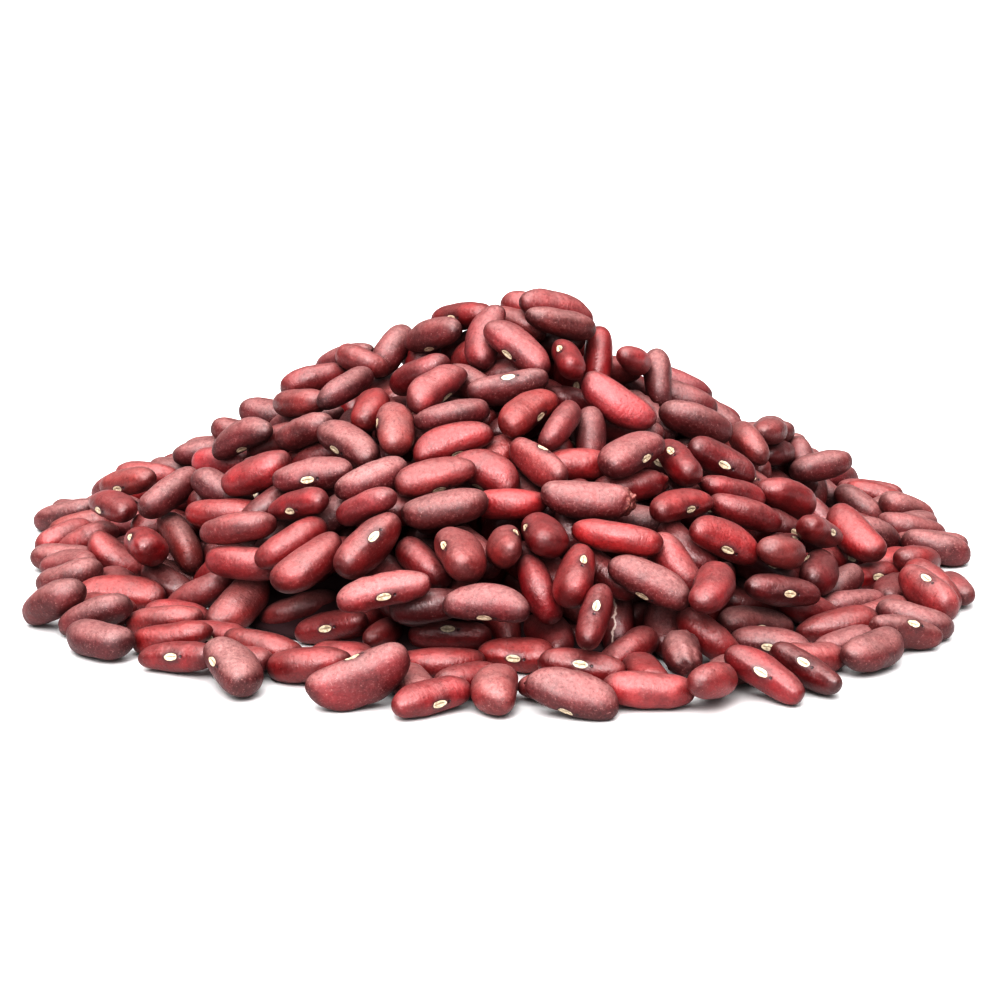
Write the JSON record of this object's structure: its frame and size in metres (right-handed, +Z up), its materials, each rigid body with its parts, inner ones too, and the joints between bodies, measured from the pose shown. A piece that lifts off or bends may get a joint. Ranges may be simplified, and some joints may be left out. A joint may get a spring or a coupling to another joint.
{
  "type": "heap of dried red kidney beans",
  "caption": "Loose cone-shaped heap of dried dark red kidney beans, resting on its flat underside.",
  "frame": {"origin": "middle of the heap's footprint, on the surface it rests on", "axes": "+Z up, -Y towards the front of the heap, +X to its right"},
  "size_m": [0.2042, 0.2078, 0.059],
  "materials": {
    "bean_skin": "satin dried seed coat, dark red, with a pale oval eye on each bean"
  },
  "bodies": {
    "root": {"bean_heap": "bean_skin"}
  },
  "joints": []
}
